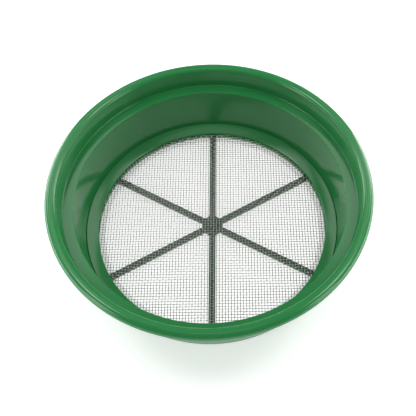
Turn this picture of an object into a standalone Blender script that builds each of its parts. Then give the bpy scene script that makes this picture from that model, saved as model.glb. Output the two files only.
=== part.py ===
"""A round soil sieve, in metres, +Z up, standing on its base with the origin under its centre.

A moulded pan, with a rolled rim and a ledge that seats on a bucket's mouth, has an open floor
with a narrow lip. Three pieces drop in from above, in this order: a six-armed spider that
bridges the floor, a disc of woven wire cloth, and a ring that is welded in over the cloth's edge.
"""

import math

import bmesh
import bpy
from mathutils import Matrix

MM = 0.001

# Every piece
CLEARANCE = 0.3 * MM  # left between two pieces that touch
FACETS = 72  # flats around a turned piece
MERGE = 0.01 * MM  # points nearer than this are one point

# Pan
PAN_HEIGHT = 87.0 * MM
RIM_RADIUS = 168.3 * MM
ROLL_WIDTH = 11.6 * MM  # of the rolled rim, over its half-round top
ROLL_SKIRT = 7.2 * MM  # from the rim's top down to the roll's free edge
PAN_WALL = 2.3 * MM
LEDGE_DEPTH = 24.0 * MM  # from the rim's top down to the ledge
LEDGE_WIDTH = 11.8 * MM
RECESS_DRAFT = math.radians(4.5)  # of the wall above the ledge
BOWL_DRAFT = math.radians(4.76)  # of the wall below it
LEDGE_FILLET = 0.9 * MM
CORNER_FILLET = 1.0 * MM
EDGE_FILLET = 0.8 * MM  # on the roll's free edge
FOOT_FILLET = 1.5 * MM
LIP_THICKNESS = 3.9 * MM
LIP_WIDTH = 12.0 * MM

# Spider
ARMS = 6
ARM_WIDTH = 7.0 * MM
HUB_RADIUS = 12.0 * MM
SEAT_LENGTH = 8.0 * MM  # how far an arm's tip lies on the lip
SEAT_DEPTH = 2.0 * MM  # how deep its pocket is cut into the lip
HUB_STEPS = 4  # flats between two arms

# Cloth
MESH_PITCH = 3.175 * MM  # eight wires to the inch
WIRE_DIAMETER = 0.9 * MM
BORDER_WIDTH = 1.5 * MM  # the bonded edge that keeps the cut wires together
BORDER_RELIEF = 0.03 * MM  # how much thicker it is than the wires, on each side

# Ring
RING_WIDTH = 12.5 * MM
RING_RISE = 6.4 * MM  # from its foot on the cloth up to its outer edge
RING_LAND = 1.8 * MM  # height of its upright inner edge
RING_WALL = 2.2 * MM
LEG_WALL = 2.0 * MM  # of the leg that reaches past the cloth to the lip
RING_EDGE_FILLET = 0.5 * MM
RING_LAND_FILLET = 2.0 * MM

# A square bar has the section area of the round wire it stands for
BAR_SIDE = WIRE_DIAMETER * math.sqrt(math.pi) / 2
CLOTH_BASE = LIP_THICKNESS + CLEARANCE + BORDER_RELIEF
UPPER_LAYER = CLOTH_BASE + BAR_SIDE + CLEARANCE + 2 * BORDER_RELIEF
RING_FOOT = UPPER_LAYER + BAR_SIDE + CLEARANCE + BORDER_RELIEF
RING_TOP = RING_FOOT + RING_RISE

LEDGE_HEIGHT = PAN_HEIGHT - LEDGE_DEPTH
RECESS_RADIUS = RIM_RADIUS - ROLL_WIDTH
RECESS_FOOT_RADIUS = RECESS_RADIUS - LEDGE_DEPTH * math.tan(RECESS_DRAFT)
BOWL_RADIUS = RECESS_FOOT_RADIUS - LEDGE_WIDTH

GREEN = (0.028, 0.205, 0.060)
DARK_GREEN = (0.016, 0.105, 0.036)
STEEL = (0.62, 0.61, 0.59)
GLOSS = 0.28  # roughness of the pan and the ring
SATIN = 0.4
BRIGHT = 0.25


def bowl_radius(height):
    """Inner radius of the bowl's tapered wall at a height."""
    return BOWL_RADIUS - (LEDGE_HEIGHT - height) * math.tan(BOWL_DRAFT)


LIP_RADIUS = bowl_radius(LIP_THICKNESS) - LIP_WIDTH
LEG_RADIUS = bowl_radius(CLOTH_BASE) - CLEARANCE - LEG_WALL
CLOTH_RADIUS = LEG_RADIUS - CLEARANCE
RING_INNER_RADIUS = bowl_radius(RING_TOP) - CLEARANCE - RING_WIDTH


def clear_scene():
    for item in list(bpy.data.objects):
        bpy.data.objects.remove(item, do_unlink=True)


def make_collection(name):
    collection = bpy.data.collections.new(name)
    bpy.context.scene.collection.children.link(collection)
    return collection


def make_material(name, colour, roughness, metallic=0.0):
    material = bpy.data.materials.new(name)
    material.use_nodes = True
    shader = material.node_tree.nodes["Principled BSDF"]
    shader.inputs["Base Color"].default_value = (*colour, 1.0)
    shader.inputs["Roughness"].default_value = roughness
    shader.inputs["Metallic"].default_value = metallic
    return material


def make_object(name, mesh, collection, material=None):
    item = bpy.data.objects.new(name, mesh)
    collection.objects.link(item)
    if material:
        mesh.materials.append(material)
    return item


def boolean(item, other, operation):
    """Cut or join with another object, which is then only a construction shape."""
    other.hide_render = True
    other.display_type = "WIRE"
    modifier = item.modifiers.new(other.name, "BOOLEAN")
    modifier.object = other
    modifier.operation = operation
    modifier.solver = "EXACT"


def rounded(corners):
    """The outline of a loop of (radius, height, fillet, steps) corners, each fillet an arc."""
    points = []
    count = len(corners)
    for index, (x, y, fillet, steps) in enumerate(corners):
        if not fillet:
            points.append((x, y))
            continue
        back = corners[index - 1]
        ahead = corners[(index + 1) % count]
        to_back = math.atan2(back[1] - y, back[0] - x)
        to_ahead = math.atan2(ahead[1] - y, ahead[0] - x)
        turn = (to_ahead - to_back + math.pi) % (2 * math.pi) - math.pi
        middle = to_back + turn / 2
        reach = fillet / math.sin(abs(turn) / 2)
        centre = (x + reach * math.cos(middle), y + reach * math.sin(middle))
        sweep = math.pi - abs(turn)
        for step in range(steps + 1):
            angle = middle + math.pi + math.copysign(sweep, turn) * (0.5 - step / steps)
            points.append((centre[0] + fillet * math.cos(angle),
                           centre[1] + fillet * math.sin(angle)))
    return points


def turned(name, corners, collection, material=None):
    """A closed outline, running clockwise with the axis on its left, turned about Z."""
    outline = rounded(corners)
    count = len(outline)
    mesh = bpy.data.meshes.new(name)
    mesh.from_pydata([(x, 0.0, y) for x, y in outline],
                     [(index, (index + 1) % count) for index in range(count)], [])
    item = make_object(name, mesh, collection, material)
    screw = item.modifiers.new("turn", "SCREW")
    screw.axis = "Z"
    screw.steps = FACETS
    screw.render_steps = FACETS
    screw.use_merge_vertices = True
    screw.merge_threshold = MERGE
    screw.use_smooth_shade = True
    return item


def pan_corners():
    """The pan's section, from the rim's inner edge over the roll, down outside and up inside."""
    roll = ROLL_WIDTH / 2
    free_edge = PAN_HEIGHT - ROLL_SKIRT
    recess_wall = PAN_WALL / math.cos(RECESS_DRAFT)
    bowl_wall = PAN_WALL / math.cos(BOWL_DRAFT)
    under_roll = PAN_HEIGHT - PAN_WALL
    recess_back = RECESS_RADIUS - PAN_WALL * math.tan(RECESS_DRAFT) + recess_wall
    ledge_back = RECESS_FOOT_RADIUS - PAN_WALL * math.tan(RECESS_DRAFT) + recess_wall
    under_ledge = LEDGE_HEIGHT - PAN_WALL
    return [
        (RECESS_RADIUS, PAN_HEIGHT, roll, 4),
        (RIM_RADIUS, PAN_HEIGHT, roll, 4),
        (RIM_RADIUS, free_edge, EDGE_FILLET, 1),
        (RIM_RADIUS - PAN_WALL, free_edge, EDGE_FILLET, 1),
        (RIM_RADIUS - PAN_WALL, under_roll, roll - PAN_WALL, 2),
        (recess_back, under_roll, roll - PAN_WALL, 2),
        (ledge_back, under_ledge, CORNER_FILLET + PAN_WALL, 2),
        (bowl_radius(under_ledge) + bowl_wall, under_ledge, CORNER_FILLET, 1),
        (bowl_radius(0.0) + bowl_wall, 0.0, FOOT_FILLET, 2),
        (LIP_RADIUS, 0.0, 0.0, 0),
        (LIP_RADIUS, LIP_THICKNESS, 0.0, 0),
        (bowl_radius(LIP_THICKNESS), LIP_THICKNESS, 0.0, 0),
        (BOWL_RADIUS, LEDGE_HEIGHT, LEDGE_FILLET, 2),
        (RECESS_FOOT_RADIUS, LEDGE_HEIGHT, CORNER_FILLET, 1),
    ]


def ring_corners():
    """The ring's section: a sloping plate, its leg on the lip and its foot on the cloth."""
    top_radius = bowl_radius(RING_TOP) - CLEARANCE
    slope = (RING_RISE - RING_LAND) / RING_WIDTH
    drop = RING_WALL * math.hypot(1.0, slope)
    leg_end = LIP_THICKNESS + CLEARANCE
    under_plate = RING_FOOT + RING_LAND + (LEG_RADIUS - RING_INNER_RADIUS) * slope - drop
    foot_radius = RING_INNER_RADIUS + (drop - RING_LAND) / slope
    return [
        (RING_INNER_RADIUS, RING_FOOT + RING_LAND, RING_LAND_FILLET, 4),
        (top_radius, RING_TOP, RING_EDGE_FILLET, 3),
        (bowl_radius(leg_end) - CLEARANCE, leg_end, 0.0, 0),
        (LEG_RADIUS, leg_end, 0.0, 0),
        (LEG_RADIUS, under_plate, 0.0, 0),
        (foot_radius, RING_FOOT, 0.0, 0),
        (RING_INNER_RADIUS, RING_FOOT, 0.0, 0),
    ]


def star_outline(half_width, reach, hub_radius):
    """A hub with straight arms, one pair of them along Y."""
    points = []
    pitch = 2 * math.pi / ARMS
    inset = math.asin(half_width / hub_radius)
    for arm in range(ARMS):
        along = math.pi / 2 + arm * pitch
        ray = (math.cos(along), math.sin(along))
        for side in (-half_width, half_width):
            points.append((reach * ray[0] - side * ray[1], reach * ray[1] + side * ray[0]))
        for step in range(HUB_STEPS + 1):
            angle = along + inset + (pitch - 2 * inset) * step / HUB_STEPS
            points.append((hub_radius * math.cos(angle), hub_radius * math.sin(angle)))
    return points


def star_mesh(name, growth, reach, bottom, top):
    """The star as a flat plate between two heights, as a closed mesh."""
    curve = bpy.data.curves.new(name, "CURVE")
    curve.dimensions = "2D"
    curve.fill_mode = "BOTH"
    curve.extrude = (top - bottom) / 2
    outline = star_outline(ARM_WIDTH / 2 + growth, reach + growth, HUB_RADIUS + growth)
    spline = curve.splines.new("POLY")
    spline.points.add(len(outline) - 1)
    for point, (x, y) in zip(spline.points, outline):
        point.co = (x, y, 0.0, 1.0)
    spline.use_cyclic_u = True
    holder = bpy.data.objects.new(name, curve)
    bpy.context.scene.collection.objects.link(holder)
    shape = holder.evaluated_get(bpy.context.evaluated_depsgraph_get())
    mesh = bpy.data.meshes.new_from_object(shape)
    bpy.data.objects.remove(holder, do_unlink=True)
    work = bmesh.new()
    work.from_mesh(mesh)
    bmesh.ops.remove_doubles(work, verts=work.verts, dist=MERGE)
    bmesh.ops.translate(work, verts=work.verts, vec=(0.0, 0.0, (top + bottom) / 2))
    bmesh.ops.recalc_face_normals(work, faces=work.faces)
    work.to_mesh(mesh)
    work.free()
    return mesh


def build_pan(parts, cutters):
    """The moulded pan, with a pocket in its lip for each of the spider's tips."""
    pan = turned("pan_body", pan_corners(), parts, make_material("pan_green", GREEN, GLOSS))
    pockets = star_mesh("pockets", CLEARANCE, LIP_RADIUS + SEAT_LENGTH,
                        LIP_THICKNESS - SEAT_DEPTH, LIP_THICKNESS + SEAT_DEPTH)
    boolean(pan, make_object("pockets", pockets, cutters), "DIFFERENCE")


def build_spider(parts, cutters):
    """Hub and arms in one moulding, level with the lip, each tip thinned to lie in its pocket."""
    mesh = star_mesh("support_spider", 0.0, LIP_RADIUS + SEAT_LENGTH, CLEARANCE, LIP_THICKNESS)
    spider = make_object("support_spider", mesh, parts,
                         make_material("spider_green", DARK_GREEN, SATIN))
    under_tip = LIP_THICKNESS - SEAT_DEPTH + CLEARANCE
    step = turned("tip_step", [
        (LIP_RADIUS - CLEARANCE, under_tip, 0.0, 0),
        (RIM_RADIUS, under_tip, 0.0, 0),
        (RIM_RADIUS, -LIP_THICKNESS, 0.0, 0),
        (LIP_RADIUS - CLEARANCE, -LIP_THICKNESS, 0.0, 0),
    ], cutters)
    boolean(spider, step, "DIFFERENCE")


def bars_mesh(name, bottom, turn):
    """Straight bars side by side at the mesh's pitch, each as long as the disc is wide there."""
    middle_radius = CLOTH_RADIUS - BORDER_WIDTH / 2
    room = CLOTH_RADIUS - BORDER_WIDTH - MESH_PITCH / 2
    count = 2 * int(room / MESH_PITCH + 0.5)
    work = bmesh.new()
    for index in range(count):
        offset = (index - (count - 1) / 2) * MESH_PITCH
        length = 2 * math.sqrt(middle_radius ** 2 - offset ** 2)
        unit_to_bar = (Matrix.Rotation(turn, 4, "Z")
                       @ Matrix.Translation((offset, 0.0, bottom + BAR_SIDE / 2))
                       @ Matrix.Diagonal((BAR_SIDE, length, BAR_SIDE, 1.0)))
        bmesh.ops.create_cube(work, size=1.0, matrix=unit_to_bar)
    mesh = bpy.data.meshes.new(name)
    work.to_mesh(mesh)
    work.free()
    return mesh


def build_wires(name, bottom, turn, parts, cutters):
    """One set of the cloth's wires, held at their ends by its share of the bonded border."""
    low = bottom - BORDER_RELIEF
    high = bottom + BAR_SIDE + BORDER_RELIEF
    layer = turned(name, [
        (CLOTH_RADIUS - BORDER_WIDTH, high, 0.0, 0),
        (CLOTH_RADIUS, high, 0.0, 0),
        (CLOTH_RADIUS, low, 0.0, 0),
        (CLOTH_RADIUS - BORDER_WIDTH, low, 0.0, 0),
    ], parts, make_material(name + "_steel", STEEL, BRIGHT, 1.0))
    bars = make_object(name + "_bars", bars_mesh(name + "_bars", bottom, turn), cutters)
    boolean(layer, bars, "UNION")


def build_ring(parts):
    """The ring that holds the cloth down, with its leg welded to the lip."""
    turned("retaining_ring", ring_corners(), parts, make_material("ring_green", GREEN, GLOSS))


clear_scene()
sieve = make_collection("soil_sieve")
tools = make_collection("soil_sieve_cutters")
build_pan(sieve, tools)
build_spider(sieve, tools)
build_wires("weft_wires", CLOTH_BASE, math.pi / 2, sieve, tools)
build_wires("warp_wires", UPPER_LAYER, 0.0, sieve, tools)
build_ring(sieve)
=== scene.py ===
"""A round soil sieve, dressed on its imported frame: a green moulded pan that seats on a bucket, a
six-armed support under a disc of woven wire cloth, and a ring that holds the cloth's edge down.

Everything is in metres, in the frame's own axes: +Z up, the sieve standing on z = 0 at the origin.
"""
import math
import random

import bmesh
import bpy
from mathutils import Matrix, Vector


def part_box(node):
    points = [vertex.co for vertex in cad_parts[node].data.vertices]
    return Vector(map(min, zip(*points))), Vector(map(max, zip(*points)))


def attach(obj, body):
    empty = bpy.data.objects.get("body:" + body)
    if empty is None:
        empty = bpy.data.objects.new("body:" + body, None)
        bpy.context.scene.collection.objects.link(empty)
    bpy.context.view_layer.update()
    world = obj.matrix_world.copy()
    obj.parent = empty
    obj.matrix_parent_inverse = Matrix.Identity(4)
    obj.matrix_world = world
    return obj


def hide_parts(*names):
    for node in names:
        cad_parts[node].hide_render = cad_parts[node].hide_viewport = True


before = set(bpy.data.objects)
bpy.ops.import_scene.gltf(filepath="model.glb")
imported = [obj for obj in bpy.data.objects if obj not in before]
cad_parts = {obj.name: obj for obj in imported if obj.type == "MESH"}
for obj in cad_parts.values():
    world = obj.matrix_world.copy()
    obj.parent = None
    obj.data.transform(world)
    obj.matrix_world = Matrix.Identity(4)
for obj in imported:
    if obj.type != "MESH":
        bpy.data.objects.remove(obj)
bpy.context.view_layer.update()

MM = 0.001


# ---------------------------------------------------------------- pan body
# The pan is one injection moulding in green polypropylene: a rolled rim, a short wall, a ledge that
# seats on a bucket's mouth, a deep tapered wall and an open floor with a narrow lip. Six pockets in
# the lip take the tips of the support's arms.

pan_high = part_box("pan_body")[1]
RIM_RADIUS = pan_high.x
PAN_HEIGHT = pan_high.z
ROLL_WIDTH = 11.6 * MM
ROLL_SKIRT = 7.2 * MM
PAN_WALL = 2.3 * MM
LEDGE_DEPTH = 24.0 * MM
LEDGE_WIDTH = 11.8 * MM
RECESS_DRAFT = math.radians(4.5)
BOWL_DRAFT = math.radians(4.76)
LEDGE_FILLET = 0.9 * MM
SHOULDER_FILLET = 3.3 * MM  # outside, behind the ledge's outer edge
CORNER_FILLET = 1.0 * MM
SKIRT_FILLET = 1.1 * MM  # on the roll's free edge
FOOT_FILLET = 1.5 * MM
LIP_FILLET = 0.4 * MM
FLOOR_FILLET = 0.3 * MM  # between the tapered wall and the lip
LIP_THICKNESS = 3.9 * MM
LIP_WIDTH = 12.0 * MM
LEDGE_HEIGHT = PAN_HEIGHT - LEDGE_DEPTH
RECESS_RADIUS = RIM_RADIUS - ROLL_WIDTH
RECESS_FOOT_RADIUS = RECESS_RADIUS - LEDGE_DEPTH * math.tan(RECESS_DRAFT)
BOWL_RADIUS = RECESS_FOOT_RADIUS - LEDGE_WIDTH
AROUND = 288  # facets around a turned piece
ARC_STEP = math.radians(11)  # longest step along a fillet


def linear(hex_colour):
    """An sRGB hex colour as linear RGB."""
    shares = [int(hex_colour[place:place + 2], 16) / 255 for place in (1, 3, 5)]
    return tuple(s / 12.92 if s <= 0.04045 else ((s + 0.055) / 1.055) ** 2.4 for s in shares)


def add(tree, kind, links=(), **settings):
    """A node with its settings, where links gives (its input, the socket that feeds it)."""
    node = tree.nodes.new("ShaderNode" + kind)
    for name, value in settings.items():
        setattr(node, name, value)
    for entry, source in links:
        if isinstance(source, bpy.types.NodeSocket):
            tree.links.new(source, node.inputs[entry])
        else:
            node.inputs[entry].default_value = source
    return node


def new_material(name):
    """An empty material with its shader, ready for the piece's own nodes."""
    material = bpy.data.materials.new(name)
    material.use_nodes = True
    return material, material.node_tree, material.node_tree.nodes["Principled BSDF"]


def bowl_radius(height):
    """Inner radius of the tapered wall at a height."""
    return BOWL_RADIUS - (LEDGE_HEIGHT - height) * math.tan(BOWL_DRAFT)


def rounded(corners):
    """The outline of a loop of (radius, height, fillet) corners, each fillet an arc."""
    points = []
    for index, (x, y, fillet) in enumerate(corners):
        if not fillet:
            points.append((x, y))
            continue
        back = corners[index - 1]
        ahead = corners[(index + 1) % len(corners)]
        to_back = math.atan2(back[1] - y, back[0] - x)
        to_ahead = math.atan2(ahead[1] - y, ahead[0] - x)
        turn = (to_ahead - to_back + math.pi) % (2 * math.pi) - math.pi
        middle = to_back + turn / 2
        reach = fillet / math.sin(abs(turn) / 2)
        sweep = math.pi - abs(turn)
        steps = max(2, math.ceil(sweep / ARC_STEP))
        for step in range(steps + 1):
            angle = middle + math.pi + math.copysign(sweep, turn) * (0.5 - step / steps)
            points.append((x + reach * math.cos(middle) + fillet * math.cos(angle),
                           y + reach * math.sin(middle) + fillet * math.sin(angle)))
    return points


def link(name, mesh, material):
    """A piece of the sieve: it rides on the one body."""
    piece = bpy.data.objects.new(name, mesh)
    bpy.context.scene.collection.objects.link(piece)
    mesh.materials.append(material)
    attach(piece, "root")
    return piece


def smooth(mesh, angle=25):
    mesh.shade_smooth()
    mesh.set_sharp_from_angle(angle=math.radians(angle))


def turned(name, corners):
    """A closed section, running clockwise with the axis on its left, turned about Z."""
    outline = rounded(corners)
    form = bmesh.new()
    rings = []
    for step in range(AROUND):
        angle = 2 * math.pi * step / AROUND
        rings.append([form.verts.new((x * math.cos(angle), x * math.sin(angle), y))
                      for x, y in outline])
    for here, there in zip(rings, rings[1:] + rings[:1]):
        for index in range(len(outline)):
            after = (index + 1) % len(outline)
            form.faces.new((here[index], here[after], there[after], there[index]))
    bmesh.ops.recalc_face_normals(form, faces=form.faces)
    mesh = bpy.data.meshes.new(name)
    form.to_mesh(mesh)
    form.free()
    return mesh


def pan_section():
    """From the rim's inner edge over the roll, down the outside and up the inside."""
    roll = ROLL_WIDTH / 2
    free_edge = PAN_HEIGHT - ROLL_SKIRT
    under_roll = PAN_HEIGHT - PAN_WALL
    under_ledge = LEDGE_HEIGHT - PAN_WALL
    recess_back = PAN_WALL / math.cos(RECESS_DRAFT) - PAN_WALL * math.tan(RECESS_DRAFT)
    bowl_back = PAN_WALL / math.cos(BOWL_DRAFT)
    return [
        (RECESS_RADIUS, PAN_HEIGHT, roll),
        (RIM_RADIUS, PAN_HEIGHT, roll),
        (RIM_RADIUS, free_edge, SKIRT_FILLET),
        (RIM_RADIUS - PAN_WALL, free_edge, SKIRT_FILLET),
        (RIM_RADIUS - PAN_WALL, under_roll, roll - PAN_WALL),
        (RECESS_RADIUS + recess_back, under_roll, roll - PAN_WALL),
        (RECESS_FOOT_RADIUS + recess_back, under_ledge, SHOULDER_FILLET),
        (bowl_radius(under_ledge) + bowl_back, under_ledge, CORNER_FILLET),
        (bowl_radius(0.0) + bowl_back, 0.0, FOOT_FILLET),
        (LIP_RADIUS, 0.0, LIP_FILLET),
        (LIP_RADIUS, LIP_THICKNESS, LIP_FILLET),
        (bowl_radius(LIP_THICKNESS), LIP_THICKNESS, FLOOR_FILLET),
        (BOWL_RADIUS, LEDGE_HEIGHT, LEDGE_FILLET),
        (RECESS_FOOT_RADIUS, LEDGE_HEIGHT, CORNER_FILLET),
    ]


def moulded_polypropylene(name, light, dark):
    """Polypropylene coloured in the mass and moulded in a lathe-turned steel tool. The eye sees a
    soft waxy gloss, faint rings left by the tool, and hardly any change of colour."""
    material, tree, shader = new_material(name)
    place = add(tree, "TexCoord").outputs["Object"]
    flat = add(tree, "VectorMath", [(0, place), (1, (1.0, 1.0, 0.0))], operation="MULTIPLY")
    radius = add(tree, "VectorMath", [(0, flat.outputs[0])], operation="LENGTH").outputs["Value"]
    height = add(tree, "SeparateXYZ", [(0, place)]).outputs["Z"]
    section = add(tree, "CombineXYZ", [("X", radius), ("Z", height)]).outputs[0]
    # Tool rings are 0.2 mm apart on the real mould, drawn at about 1 mm so that they show
    rings = add(tree, "TexNoise", [("Vector", section), ("Scale", 900.0), ("Detail", 2.0)])
    # Pigment clouds a few centimetres across
    clouds = add(tree, "TexNoise", [("Vector", place), ("Scale", 28.0), ("Detail", 3.0)])
    # Spark-eroded grain is 0.05 mm on the real part, drawn at about 0.4 mm
    grain = add(tree, "TexNoise", [("Vector", place), ("Scale", 2400.0), ("Detail", 2.0)])
    tint = add(tree, "Mix", [(0, clouds.outputs["Fac"]), (6, (*linear(dark), 1.0)),
                             (7, (*linear(light), 1.0))], data_type="RGBA")
    tree.links.new(tint.outputs[2], shader.inputs["Base Color"])
    gloss = add(tree, "MapRange", [("Value", rings.outputs["Fac"]), ("From Min", 0.3),
                                   ("From Max", 0.7), ("To Min", 0.12), ("To Max", 0.16)])
    tree.links.new(gloss.outputs[0], shader.inputs["Roughness"])
    relief = add(tree, "Math", [(0, rings.outputs["Fac"]), (1, grain.outputs["Fac"])],
                 operation="ADD")
    bump = add(tree, "Bump", [("Strength", 0.12), ("Distance", 0.00005),
                              ("Height", relief.outputs[0])])
    tree.links.new(bump.outputs[0], shader.inputs["Normal"])
    shader.inputs["IOR"].default_value = 1.49
    return material


LIP_RADIUS = bowl_radius(LIP_THICKNESS) - LIP_WIDTH
pan_green = moulded_polypropylene("moulded_green_polypropylene", "#2b8547", "#267b40")
pan = link("pan", turned("pan", pan_section()), pan_green)
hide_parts("pan_body")


# ---------------------------------------------------------------- support spider
# A flat hub with six straight arms, coloured a darker green than the pan: partly a darker plastic,
# partly painted shade from the cloth above it. Its thinned tips lie in the lip's pockets, level
# with the lip, and it keeps the cloth from sagging under a heap of soil.

ARMS = 6
ARM_WIDTH = 7.0 * MM
HUB_RADIUS = 12.0 * MM
SEAT_LENGTH = 8.0 * MM
SEAT_DEPTH = 2.0 * MM
ARM_FILLET = 0.4 * MM
FIT = 0.3 * MM  # the tips' clearance in their pockets
HUB_STEPS = 8


def star_outline(half_width, reach, hub_radius):
    """A hub with straight arms, one pair of them along Y."""
    points = []
    pitch = 2 * math.pi / ARMS
    inset = math.asin(half_width / hub_radius)
    for arm in range(ARMS):
        along = math.pi / 2 + arm * pitch
        ray = (math.cos(along), math.sin(along))
        for side in (-half_width, half_width):
            points.append((reach * ray[0] - side * ray[1], reach * ray[1] + side * ray[0]))
        for step in range(HUB_STEPS + 1):
            angle = along + inset + (pitch - 2 * inset) * step / HUB_STEPS
            points.append((hub_radius * math.cos(angle), hub_radius * math.sin(angle)))
    return points


def star_form(growth, reach, bottom, top):
    """The star as a plate between two heights."""
    form = bmesh.new()
    outline = star_outline(ARM_WIDTH / 2 + growth, reach + growth, HUB_RADIUS + growth)
    base = form.faces.new([form.verts.new((x, y, bottom)) for x, y in outline])
    risen = bmesh.ops.extrude_face_region(form, geom=[base])["geom"]
    top_verts = [item for item in risen if isinstance(item, bmesh.types.BMVert)]
    bmesh.ops.translate(form, verts=top_verts, vec=(0.0, 0.0, top - bottom))
    bmesh.ops.recalc_face_normals(form, faces=form.faces)
    return form


def form_object(name, form):
    """A bare object from a form, for cutting with."""
    mesh = bpy.data.meshes.new(name)
    form.to_mesh(mesh)
    form.free()
    item = bpy.data.objects.new(name, mesh)
    bpy.context.scene.collection.objects.link(item)
    return item


def cut(piece, tool):
    """Takes a tool's shape out of a piece, and removes the tool."""
    modifier = piece.modifiers.new("cut", "BOOLEAN")
    modifier.object = tool
    modifier.operation = "DIFFERENCE"
    shape = piece.evaluated_get(bpy.context.evaluated_depsgraph_get())
    mesh = bpy.data.meshes.new_from_object(shape)
    piece.modifiers.clear()
    piece.data = mesh
    bpy.data.objects.remove(tool, do_unlink=True)


arm_reach = LIP_RADIUS + SEAT_LENGTH
cut(pan, form_object("pockets", star_form(FIT, arm_reach, LIP_THICKNESS - SEAT_DEPTH,
                                          LIP_THICKNESS + SEAT_DEPTH)))
smooth(pan.data)

spider_mesh = bpy.data.meshes.new("spider")
spider_form = star_form(0.0, arm_reach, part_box("support_spider")[0].z, LIP_THICKNESS)
spider_form.to_mesh(spider_mesh)
spider_form.free()
# The spider's darker green is partly painted shade of the cloth lying over the arms
spider_green_with_painted_shade = moulded_polypropylene("dark_green_polypropylene_with_painted_shade", "#14502a", "#124826")
spider = link("spider", spider_mesh, spider_green_with_painted_shade)
under_tip = LIP_THICKNESS - SEAT_DEPTH + FIT
step_mesh = turned("tip_step", [
    (LIP_RADIUS - FIT, under_tip, 0.0),
    (RIM_RADIUS, under_tip, 0.0),
    (RIM_RADIUS, -LIP_THICKNESS, 0.0),
    (LIP_RADIUS - FIT, -LIP_THICKNESS, 0.0),
])
step_form = bmesh.new()
step_form.from_mesh(step_mesh)
cut(spider, form_object("tip_step", step_form))
edges = spider.modifiers.new("edges", "BEVEL")
edges.width = ARM_FILLET
edges.segments = 3
edges.limit_method = "ANGLE"
edges.angle_limit = math.radians(40)
smooth(spider.data)
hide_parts("support_spider")


# ---------------------------------------------------------------- woven wire cloth
# Bright drawn steel wire, 0.9 mm thick, in a plain weave of eight wires to the inch. Each wire
# passes over one crossing wire and under the next, so neighbours are waved opposite ways.

MESH_PITCH = 3.175 * MM
WIRE_DIAMETER = 0.9 * MM
POINTS_PER_PITCH = 4
WIRE_JITTER = 0.05 * MM  # how far a wire wanders from its place
CRIMP = WIRE_DIAMETER * 0.51  # height of a wire's wave, a hair more than its radius

cloth_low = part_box("weft_wires")[0].z
cloth_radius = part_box("warp_wires")[1].x
cloth_middle = cloth_low + WIRE_DIAMETER + (CRIMP - WIRE_DIAMETER / 2)
wire_count = 2 * int((cloth_radius - MESH_PITCH / 2) / MESH_PITCH + 0.5)
chance = random.Random(8)


def drawn_steel_wire(name):
    """Drawn steel wire: a clean mid-grey metal with a soft, slightly uneven shine."""
    material, tree, shader = new_material(name)
    place = add(tree, "TexCoord").outputs["Object"]
    # The film left by drawing and handling varies over a few millimetres
    film = add(tree, "TexNoise", [("Vector", place), ("Scale", 420.0), ("Detail", 3.0)])
    tint = add(tree, "Mix", [(0, film.outputs["Fac"]), (6, (*linear("#9c9c99"), 1.0)),
                             (7, (*linear("#c6c6c2"), 1.0))], data_type="RGBA")
    tree.links.new(tint.outputs[2], shader.inputs["Base Color"])
    gloss = add(tree, "MapRange", [("Value", film.outputs["Fac"]), ("From Min", 0.3),
                                   ("From Max", 0.7), ("To Min", 0.24), ("To Max", 0.4)])
    tree.links.new(gloss.outputs[0], shader.inputs["Roughness"])
    shader.inputs["Metallic"].default_value = 1.0
    return material


def weave_wires(name, first, turn, node, material):
    """Every second wire of one direction, from the wire numbered first. The count of wires is
    even, so a quarter turn puts each crossing wire on the other side of this one."""
    curve = bpy.data.curves.new(name, "CURVE")
    curve.dimensions = "3D"
    curve.bevel_depth = WIRE_DIAMETER / 2
    curve.bevel_resolution = 1
    curve.use_fill_caps = True
    spin = Matrix.Rotation(turn, 3, "Z")
    middle_wire = (wire_count - 1) / 2
    for wire in range(first, wire_count, 2):
        across = (wire - middle_wire) * MESH_PITCH
        half = math.sqrt(cloth_radius ** 2 - across ** 2)
        across += chance.uniform(-WIRE_JITTER, WIRE_JITTER)
        steps = 2 * math.ceil(half / MESH_PITCH * POINTS_PER_PITCH)
        spline = curve.splines.new("POLY")
        spline.points.add(steps)
        for step, point in enumerate(spline.points):
            along = half * (2 * step / steps - 1)
            phase = math.pi * (along / MESH_PITCH + middle_wire + wire)
            place = Vector((across, along, cloth_middle + CRIMP * math.cos(phase)))
            point.co = (*(spin @ place), 1.0)
    holder = bpy.data.objects.new(name, curve)
    bpy.context.scene.collection.objects.link(holder)
    shape = holder.evaluated_get(bpy.context.evaluated_depsgraph_get())
    mesh = bpy.data.meshes.new_from_object(shape)
    mesh.name = name
    bpy.data.objects.remove(holder, do_unlink=True)
    smooth(mesh, 60)
    piece = link(name, mesh, material)
    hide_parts(node)


steel = drawn_steel_wire("bright_drawn_steel_wire")
for first, share in enumerate(("even", "odd")):
    weave_wires("warp_wires_" + share, first, 0.0, "warp_wires", steel)
    weave_wires("weft_wires_" + share, first, math.pi / 2, "weft_wires", steel)


# ---------------------------------------------------------------- retaining ring
# A second green moulding, dropped in last and welded to the lip. Its plate slopes from a crisp
# outer edge down to a rounded land on the cloth, and a leg behind the cloth reaches the lip.

ring_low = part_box("retaining_ring")[0]
RING_WIDTH = 12.5 * MM
RING_LAND = 1.8 * MM
RING_WALL = 2.2 * MM
RING_OUTER_FILLET = 0.5 * MM
RING_LAND_FILLET = 2.0 * MM
RING_FOOT_FILLET = 0.2 * MM
RING_RISE = 6.4 * MM
ring_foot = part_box("warp_wires")[1].z + FIT
ring_top = ring_foot + RING_RISE


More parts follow.
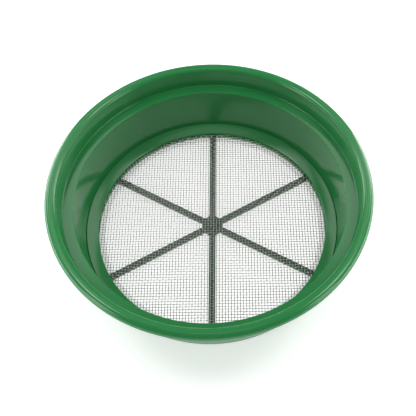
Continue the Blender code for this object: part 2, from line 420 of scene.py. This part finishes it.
def ring_section():
    """A sloping plate with its leg on the lip and its foot on the cloth."""
    top_radius = bowl_radius(ring_top) - FIT
    inner = top_radius - RING_WIDTH
    leg = cloth_radius + FIT
    slope = (RING_RISE - RING_LAND) / RING_WIDTH
    drop = RING_WALL * math.hypot(1.0, slope)
    return [
        (inner, ring_foot + RING_LAND, RING_LAND_FILLET),
        (top_radius, ring_top, RING_OUTER_FILLET),
        (bowl_radius(ring_low.z) - FIT, ring_low.z, RING_FOOT_FILLET),
        (leg, ring_low.z, RING_FOOT_FILLET),
        (leg, ring_foot + RING_LAND + (leg - inner) * slope - drop, 0.0),
        (inner + (drop - RING_LAND) / slope, ring_foot, 0.0),
        (inner, ring_foot, RING_FOOT_FILLET),
    ]


ring = link("ring", turned("ring", ring_section()), pan_green)
smooth(ring.data)
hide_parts("retaining_ring")


# ---------------------------------------------------------------- studio
# A large table of white acrylic, lit from below, with a brighter panel let into it under the
# cloth. Softboxes stand and hang in mirrored pairs at the sides, the rear and the front corners,
# one more hangs overhead, and the room is dim and has no colour.

TABLE_SIZE = 60.0  # half its width
TABLE_BRIGHTNESS = 0.5
PANEL_RADIUS = 120.0 * MM
PANEL_HEIGHT = 0.1 * MM
PANEL_BRIGHTNESS = 0.85
ROOM_BRIGHTNESS = 0.2
STUDIO_REACH = 1.3  # from the sieve to a softbox


def backlit_acrylic(name, brightness):
    """White acrylic sheet, lit from below: an even white with a dull surface."""
    material, _, shader = new_material(name)
    shader.inputs["Base Color"].default_value = (*linear("#eeeeee"), 1.0)
    shader.inputs["Roughness"].default_value = 0.6
    shader.inputs["Emission Color"].default_value = (1.0, 1.0, 1.0, 1.0)
    shader.inputs["Emission Strength"].default_value = brightness
    return material


def stage_sheet(name, form, material):
    """A flat sheet that the sieve stands on, not a part of it."""
    item = form_object(name, form)
    item.data.materials.append(material)


table_form = bmesh.new()
bmesh.ops.create_grid(table_form, x_segments=1, y_segments=1, size=TABLE_SIZE)
stage_sheet("table", table_form, backlit_acrylic("white_backlit_acrylic", TABLE_BRIGHTNESS))
panel_form = bmesh.new()
bmesh.ops.create_circle(panel_form, cap_ends=True, segments=AROUND, radius=PANEL_RADIUS,
                        matrix=Matrix.Translation((0.0, 0.0, PANEL_HEIGHT)))
stage_sheet("light_panel", panel_form, backlit_acrylic("lit_panel_acrylic", PANEL_BRIGHTNESS))

world = bpy.data.worlds.new("studio")
bpy.context.scene.world = world
world.use_nodes = True
world.node_tree.nodes["Background"].inputs["Color"].default_value = (1.0, 1.0, 1.0, 1.0)
world.node_tree.nodes["Background"].inputs["Strength"].default_value = ROOM_BRIGHTNESS


def softbox(name, heading, rise, width, length, brightness):
    """A rectangular softbox facing the sieve. Its heading runs from straight in front towards
    +X, its rise from the horizon, both in degrees; brightness is its surface's own radiance."""
    side, up = math.radians(heading), math.radians(rise)
    toward = Vector((math.cos(up) * math.sin(side), -math.cos(up) * math.cos(side), math.sin(up)))
    light = bpy.data.lights.new(name, "AREA")
    light.shape = "RECTANGLE"
    light.size = width
    light.size_y = length
    light.energy = brightness * math.pi * width * length
    item = bpy.data.objects.new(name, light)
    item.location = toward * STUDIO_REACH
    item.rotation_euler = (-toward).to_track_quat("-Z", "Y").to_euler()
    bpy.context.scene.collection.objects.link(item)


for hand, side in (("left", -1), ("right", 1)):
    softbox(hand + "_strip", side * 97, 6, 2.4, 0.3, 5.0)
    softbox(hand + "_rear_wall", side * 128, 24, 0.45, 1.1, 3.2)
    softbox(hand + "_rear_overhead", side * 155, 54, 0.38, 0.38, 2.0)
    softbox(hand + "_lamp", side * 97, 61, 0.3, 0.3, 5.5)
    softbox(hand + "_overhead", side * 102, 61, 0.62, 0.46, 1.6)
    softbox(hand + "_side", side * 102, 40, 0.85, 0.35, 0.5)
    softbox(hand + "_front", side * 60, 27, 0.36, 0.3, 5.0)
softbox("overhead", 0, 86, 0.5, 0.5, 0.7)

CAMERA_HEADING = math.radians(3.96)  # the camera stands this far to the right of straight in front
CAMERA_RISE = math.radians(56.0)
CAMERA_DISTANCE = 0.7296
LENS = 61.2  # in millimetres
SIDE_SHIFT = -0.0865  # share of the frame's width
AIM = Vector((0.0350, -0.0268, PAN_HEIGHT - ROLL_WIDTH / 2))

camera_data = bpy.data.cameras.new("camera")
camera_data.lens = LENS
camera_data.shift_x = SIDE_SHIFT
camera = bpy.data.objects.new("camera", camera_data)
bpy.context.scene.collection.objects.link(camera)
camera.location = Vector((0.0, 0.0, AIM.z)) + CAMERA_DISTANCE * Vector((
    math.cos(CAMERA_RISE) * math.sin(CAMERA_HEADING),
    -math.cos(CAMERA_RISE) * math.cos(CAMERA_HEADING),
    math.sin(CAMERA_RISE)))
camera.rotation_euler = (AIM - camera.location).to_track_quat("-Z", "Y").to_euler()
bpy.context.scene.camera = camera
bpy.context.scene.view_settings.view_transform = "Standard"
